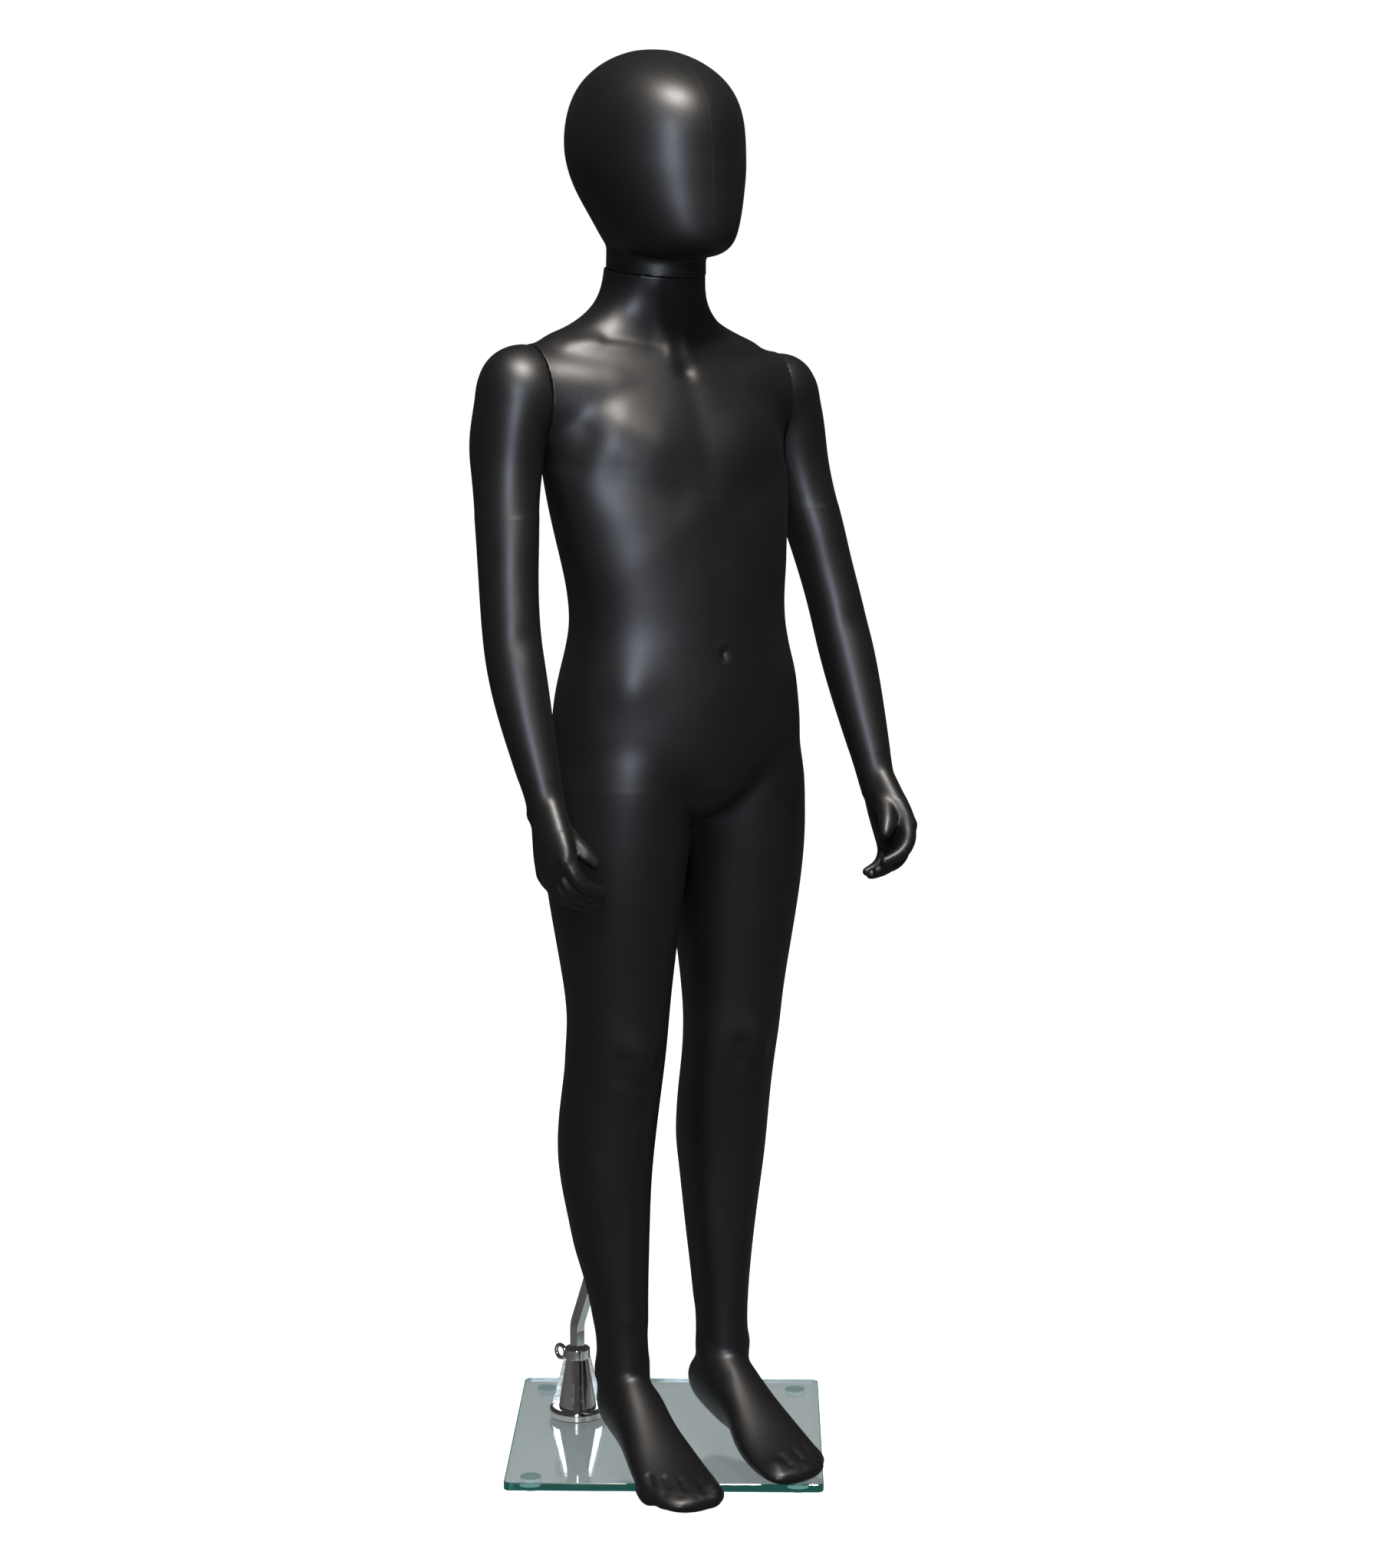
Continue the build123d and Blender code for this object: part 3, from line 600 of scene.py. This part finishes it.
def fitting_hole(piece, point, outward, key, depth, radius, long=0.0):
    """Sinks a round pocket, or a short slot along the key direction, into a joint face."""
    bpy.ops.object.select_all(action="DESELECT")
    turn = Vector(outward).to_track_quat("Z", "Y").to_euler()
    places = [Vector(point)] + ([Vector(point) + Vector(key) * long * mm] if long else [])
    tools = []
    for centre in places:
        bpy.ops.mesh.primitive_cylinder_add(vertices=64, radius=radius * mm, depth=2 * depth * mm,
                                            location=centre, rotation=turn)
        tools.append(bpy.context.object)
    for tool in tools:
        finish_with(piece, "BOOLEAN", operation="DIFFERENCE", object=tool, solver="EXACT")
        bpy.data.objects.remove(tool)


plate_pocket = {"depth": 3, "radius": 26.5}
stud_pocket = {"depth": 9, "radius": 10.5, "long": 12}
neck_key = Vector((0, -neck_axis.z, neck_axis.y)) * -1


def body_joint(point, outward, key):
    """A joint face on the body: the plate's pocket, and a deeper slot where the stud slides home."""
    flat_end(body, point, outward)
    fitting_hole(body, point, outward, key, **plate_pocket)
    fitting_hole(body, point, outward, key, **stud_pocket)


body_joint(neck_point, neck_axis, neck_key)
for side in (-1, 1):
    face_point = Vector((middle + side * arm_seam, shoulder_point.y, shoulder_point.z))
    body_joint(face_point, (side, 0, 0), (0, 0, 1))


def box_hole(piece, centre, across, along, sizes):
    """Sinks a square hole into a shell. Its sides lie along two directions and square to both."""
    across, along = Vector(across).normalized(), Vector(along).normalized()
    turn = Matrix((across, along.cross(across), along)).transposed().to_euler()
    bpy.ops.object.select_all(action="DESELECT")
    bpy.ops.mesh.primitive_cube_add(size=mm, location=centre, rotation=turn, scale=sizes)
    tool = bpy.context.object
    finish_with(piece, "BOOLEAN", operation="DIFFERENCE", object=tool, solver="EXACT")
    bpy.data.objects.remove(tool)


# The calf: a shallow flat pocket for the steel plate, and a slanted square hole for the tube behind it.
lean_line = Vector(joints["figure_lift"]["axis"])
ahead = Vector((lean_line.x, lean_line.y, 0)).normalized()
sideways = Vector((-ahead.y, ahead.x, 0))
calf_slope = radians(7)
socket_turn = radians(27)
pocket_out = 5.2
socket_in = 20
calf_pocket = (23, 45, 12)
socket_hole = (13.8, 13.8, 100)
plate_out = (-ahead * cos(calf_slope) - Vector((0, 0, sin(calf_slope)))).normalized()
plate_middle = sum(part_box("calf_plate"), Vector()) / 2
box_hole(body, plate_middle + plate_out * pocket_out * mm, sideways, plate_out, calf_pocket)
tube_side = sideways * cos(socket_turn) + lean_line.cross(sideways) * sin(socket_turn)
box_hole(body, plate_middle + lean_line * socket_in * mm, tube_side, lean_line, socket_hole)


def line_of(stations, z_values):
    """The depth of a row of ovals' centres at each height."""
    rows = sorted((z, y) for x, y, z, wide, deep in stations)
    heights = [deck + z * mm for z, y in rows]
    return np.interp(z_values, heights, [ankle_line + y * mm for z, y in rows])


def parting_line(piece, distances):
    """Stores how far each point is from the place where the mould's halves met."""
    attribute = piece.data.attributes.new("parting", "FLOAT", "POINT")
    attribute.data.foreach_set("value", np.asarray(distances, dtype=np.float32))


def smooth_shaded(piece):
    """Merges what lies together, turns the faces outwards and keeps only the sharp edges sharp."""
    hold(piece)
    bpy.ops.object.mode_set(mode="EDIT")
    bpy.ops.mesh.select_all(action="SELECT")
    bpy.ops.mesh.remove_doubles(threshold=0.00002)
    bpy.ops.mesh.normals_make_consistent(inside=False)
    bpy.ops.object.mode_set(mode="OBJECT")
    bpy.ops.object.shade_smooth_by_angle(angle=radians(40))


def placed(piece, rides, node, finish):
    """Gives a finished piece its finish and its body, and hides the node it stands for."""
    finish.on(piece)
    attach(piece, rides)
    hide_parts(node)


plastic = Finish("satin_black_plastic", {"IOR": 1.5})
line_half_width = 0.35 * mm
from_parting = abs(plastic.add("ShaderNodeAttribute", {"attribute_name": "parting"}, None, 2))
near_parting = from_parting < line_half_width
rubbed = plastic.noise(9, 4)
plastic.drive("Base Color", plastic.mixed(rubbed, (0.0034, 0.0033, 0.0034, 1), (0.0058, 0.0056, 0.0055, 1)))
plastic.drive("Roughness", 0.37 + 0.08 * rubbed + 0.05 * plastic.noise(260) + 0.15 * near_parting)
plastic.bump(0.05 * plastic.noise(1400) + 0.3 * plastic.noise(38) + 0.5 * near_parting, 0.12, 0.0008)

places = rows_of(body)
hip = deck + 640 * mm
hip_blend = 60 * mm
stagger_top = 0.7
leg_share = np.clip((hip - places[:, 2]) / hip_blend, 0, 1)
stagger = np.sign(places[:, 0] - middle) * foot_stagger * mm
stagger *= np.clip(1 - (places[:, 2] - deck) / stagger_top, 0, 1)
parting_line(body, places[:, 1] - line_of(torso_stations, places[:, 2]) * (1 - leg_share)
             - (line_of(leg_stations, places[:, 2]) + stagger) * leg_share)
smooth_shaded(body)
placed(body, "figure", "body_shell", plastic)

# ---- Calf plate and socket
# A square steel tube is welded behind a small plated plate. Two countersunk screws hold the plate in its
# pocket on the right calf, and the support bar goes up the tube.
zinc.on(nodes["calf_plate"], nodes["calf_plate_screws"], nodes["calf_socket"])

# ---- Joint plates, studs and washers at the neck and shoulders
# Pressed discs, zinc plated: the fixed one has a keyhole, the moving one a riveted headed stud. A white
# nylon washer between them gives the friction that holds a pose.
moving_sides = ("head", "right_arm", "left_arm")
fixed_sides = ("neck", "right_shoulder", "left_shoulder")
for part in ("_plate", "_screws"):
    zinc.on(*[nodes[name + part] for name in fixed_sides + moving_sides])
zinc.on(*[nodes[name + "_stud"] for name in moving_sides])

nylon = Finish("white_nylon", {"Base Color": (0.78, 0.76, 0.7, 1), "Subsurface Weight": 0.1})
nylon.drive("Roughness", 0.4 + 0.15 * nylon.noise(300))
nylon.bump(nylon.noise(700), 0.1, 0.0002)
nylon.on(*[nodes[name + "_washer"] for name in moving_sides])

# ---- Arms
# Each arm is one blow moulding from the shoulder's flat face to the fingertips, with a slightly bent
# elbow and a relaxed, curled hand. It hangs on the stud in the shoulder plate.
arm_stations = [
    (136, 38, 1032, 26, 30),
    (141, 38, 1018, 37, 39),
    (146, 38, 998, 37.5, 41),
    (152, 37.5, 972, 34.5, 39.5),
    (156, 35, 945, 31.8, 36.5),
    (161, 28, 918, 29.5, 34),
    (167.5, 15, 875, 27.3, 31),
    (174, 1, 832, 26.3, 29),
    (178, -10, 797, 25.8, 29),
    (179.5, -22, 764, 26.5, 29.8),
    (180, -37, 727, 24.5, 27.8),
    (179.5, -54, 690, 21, 24.3),
    (179, -69, 657, 17.2, 21.3),
    (179, -79, 634, 15.8, 20.8),
    (179, -85, 622, 15, 20),
]
# Palm sections from the wrist to the knuckles: x, y, z, half thickness, half breadth.
palm_stations = [
    (179, -72, 656, 13, 17),
    (179.5, -80, 640, 15.5, 20.5),
    (181, -87, 625, 16, 24.5),
    (183, -94, 611, 15.5, 28.5),
    (184, -100, 599, 14, 30),
    (183.5, -105, 590, 11.5, 28.5),
    (182, -108, 584, 7.5, 23),
]
finger_shifts = (-21.5, -7.3, 6.7, 19.5)
finger_paths = [
    [(182, -95, 604), (183, -104, 592), (177, -109, 579), (166, -111, 571), (153, -110, 568)],
    [(183, -97, 602), (184, -107, 590), (178, -112, 576), (166, -114, 567), (150, -113, 564)],
    [(183, -97, 602), (184, -106, 590), (178, -111, 576), (166, -113, 567), (151, -112, 564)],
    [(182, -95, 604), (182.5, -103, 592), (177, -107, 580), (167, -109, 572), (156, -108, 569)],
]
finger_radii = [[7.8, 8.3, 7.4, 6.6, 5.0], [8.2, 8.7, 7.8, 7.0, 5.2], [8.2, 8.5, 7.6, 6.8, 5.1],
                [7.4, 7.5, 6.6, 5.9, 4.6]]
thumb_path = [(178, -82, 640), (175, -95, 627), (169, -108, 617), (162, -117, 608), (157, -122, 602)]
thumb_radii = [11, 11, 9.6, 8.4, 6.2]
finger_spread = (1.0, 1.0, 0.98, 0.94, 0.88)
hand_lean = radians(30)
mould_turn = radians(50)


def palm(side):
    """The palm is drawn down and forward along the hand, so its sections lean with it."""
    sections = [(spot(side * x, y, z), (thick, broad, broad)) for x, y, z, thick, broad in palm_stations]
    return softened(drawn("palm", sections, turn=(-hand_lean, 0, 0)))


def hand_spot(side, x, y, z, shift):
    """A place on the hand, moved across its breadth towards the little finger."""
    return spot(side * x, y + shift * 0.89, z - shift * 0.45)


for side, arm_name in ((-1, "right_arm"), (1, "left_arm")):
    parts = [shoulder_ball(side), tube("arm", arm_stations, side), palm(side)]
    for shift, path, radii in zip(finger_shifts, finger_paths, finger_radii):
        points = [hand_spot(side, *place, shift * share) for place, share in zip(path, finger_spread)]
        parts.append(digit("finger", points, radii))
    parts.append(digit("thumb", [spot(side * x, y, z) for x, y, z in thumb_path], thumb_radii))
    arm = joined(arm_name + "_moulding", parts)
    remeshed(arm, size=1.7 * mm, smooth=9)
    eased(arm, low=900, high=1060, times=110)
    eased(arm, low=632, high=672, times=40)
    press(arm, [spot(side * 176, 60, 800), spot(side * 178, 60, 785)], 9, 2.6, (0, 1, 0.1))
    press(arm, [spot(side * 180, -60, 800)], 15, -1.4, (0, -1, 0.3))
    press(arm, [spot(side * 170, -60, 880)], 26, 1.6, (0, -1, 0))
    press(arm, [spot(side * 200, 60, 960)], 26, 1.8, (side, 0, 0))
    press(arm, [spot(side * 194, -66, 640)], 6, 1.8, (side, 0.5, 0))
    press(arm, [spot(side * 186, -50, 655)], 12, -1.2, (side * 0.3, 1, 0))
    if side > 0:
        press(arm, [spot(140, 38, 1050), spot(172, 38, 1035)], 28, -7.0, (0.4, 0, 0.9))
    else:
        press(arm, [spot(-136, 38, 1052), spot(-160, 38, 1042)], 22, 3.5, (0, 0, 1))
    for first, second in zip(finger_shifts, finger_shifts[1:]):
        shift = (first + second) / 2
        groove = [hand_spot(side, *place, shift) for place in finger_paths[1][1:4]]
        press(arm, groove, 2.6, -2.4, (side * 0.8, -0.3, -0.5))
    for shift in finger_shifts:
        press(arm, [hand_spot(side, 198, -105, 598, shift)], 5.5, 1.5, (side, -0.1, 0))
    face_point = Vector((middle + side * (arm_seam + seam_gap), shoulder_point.y, shoulder_point.z))
    flat_end(arm, face_point, (-side, 0, 0))
    fitting_hole(arm, face_point, (-side, 0, 0), (0, 0, 1), **plate_pocket)
    places = rows_of(arm)
    lateral = np.interp(places[:, 2], [deck + row[2] * mm for row in arm_stations[::-1]],
                        [row[0] * mm for row in arm_stations[::-1]])
    parting_line(arm, (places[:, 1] - line_of(arm_stations, places[:, 2])) * cos(mould_turn)
                 - (side * (places[:, 0] - middle) - lateral) * sin(mould_turn))
    smooth_shaded(arm)
    placed(arm, arm_name, arm_name + "_shell", plastic)

# ---- Head
# A hollow egg-shaped head with no features, moulded in one with the upper neck. It turns on the stud in
# the neck plate, and its parting line runs over the crown from front to back.
crown = 1322
head_stations = [
    (0, 37, crown - 1, 12, 13),
    (0, 37, crown - 4, 25, 27),
    (0, 37, crown - 11, 43, 47),
    (0, 36, crown - 26, 61, 73),
    (0, 34.5, crown - 43, 71, 88),
    (0, 34, crown - 60, 76, 95.5),
    (0, 34, crown - 78, 78, 99),
    (0, 33, crown - 95, 78, 99),
    (0, 29, crown - 112, 76, 97.5),
    (0, 24, crown - 129, 71.5, 93.5),
    (0, 17, crown - 145, 66, 88),
    (0, 11, crown - 161, 60, 82),
    (0, 7.5, crown - 175, 53.5, 77.5),
    (0, 8, crown - 184, 46, 70),
    (0, 9.5, crown - 189, 36, 58),
    (0, 11, crown - 191, 22, 38),
]
head_neck_stations = [
    (0, 28, crown - 140, 42, 52),
    (0, 30, crown - 165, 45, 49.5),
    (0, 31, crown - 190, 45.5, 49),
    (0, 31, crown - 206, 45.8, 49),
    (0, 31, crown - 222, 46, 49.5),
]
head = joined("head_shell_moulding",
              [tube("skull", head_stations, points=40), tube("nape", head_neck_stations)])
remeshed(head, size=2.2 * mm, smooth=10)
press(head, [spot(0, -90, crown - 70)], 34, 1.2, (0, -1, 0.1))
press(head, [spot(0, -90, crown - 150)], 40, -1.0, (0, -1, 0))
head_foot = neck_point + neck_axis * seam_gap
flat_end(head, head_foot, -neck_axis)
fitting_hole(head, head_foot, -neck_axis, neck_key, **plate_pocket)
parting_line(head, rows_of(head)[:, 0] - middle)
smooth_shaded(head)
placed(head, "head", "head_shell", plastic)

# ---- Floor, light and camera
# A plain white sweep under soft studio light, seen from the figure's right front at chest height. The
# sweep and the air round it are bright where they are seen, and dim where the plastic mirrors them.
bpy.ops.object.select_all(action="DESELECT")
bpy.ops.mesh.primitive_plane_add(size=60, location=(0, 0, 0))
floor = bpy.context.object
floor.name = "studio_floor"
paper = Finish("white_paper", {"Base Color": (0.8, 0.8, 0.8, 1), "Roughness": 0.9, "Emission Strength": 1.0})
direct = paper.add("ShaderNodeLightPath", out=0)
mirrored = paper.add("ShaderNodeLightPath", out=5)
paper.drive("Base Color", paper.mixed(direct, (0.06, 0.06, 0.06, 1), (0.6, 0.6, 0.6, 1)))
lit = paper.mixed(direct, (0.3, 0.3, 0.3, 1), (0.97, 0.97, 0.97, 1))
paper.drive("Emission Color", paper.mixed(mirrored, lit, (0.012, 0.012, 0.012, 1)))
paper.on(floor)

world = bpy.data.worlds.new("studio")
bpy.context.scene.world = world
world.use_nodes = True
sky = world.node_tree
seen = sky.nodes.new("ShaderNodeLightPath")
glow = sky.nodes.new("ShaderNodeMath")
glow.operation = "MULTIPLY_ADD"
full_glow, mirrored_glow = 1.0, 0.045
glow.inputs[1].default_value = mirrored_glow - full_glow
glow.inputs[2].default_value = full_glow
sky.links.new(seen.outputs[5], glow.inputs[0])
sky.links.new(glow.outputs[0], sky.nodes["Background"].inputs[1])
sky.nodes["Background"].inputs[0].default_value = (1, 1, 1, 1)
bpy.context.scene.view_settings.view_transform = "Standard"


def lamp(name, at, target, size, power, colour):
    """A soft box, turned to face its target."""
    bpy.ops.object.select_all(action="DESELECT")
    bpy.ops.object.light_add(type="AREA", location=at)
    light = bpy.context.object
    light.name = name
    light.rotation_euler = (Vector(target) - Vector(at)).to_track_quat("-Z", "Y").to_euler()
    light.data.shape = "RECTANGLE"
    light.data.size, light.data.size_y = size
    light.data.energy = power
    light.data.color = colour


lamp("key", (-0.5, -1.35, 3.7), (0, 0, 1.0), (0.9, 0.9), 190, (1.0, 0.94, 0.88))
lamp("window", (-2.1, -2.9, 2.0), (0, 0, 0.9), (0.5, 1.3), 80, (0.76, 0.82, 1.0))

bpy.ops.object.select_all(action="DESELECT")
bpy.ops.object.camera_add(location=(-1.5928, -2.6075, 1.113), rotation=(radians(81.463), 0, radians(-32)))
camera = bpy.context.object
camera.data.lens = 74.85
camera.data.sensor_width = 36
bpy.context.scene.camera = camera
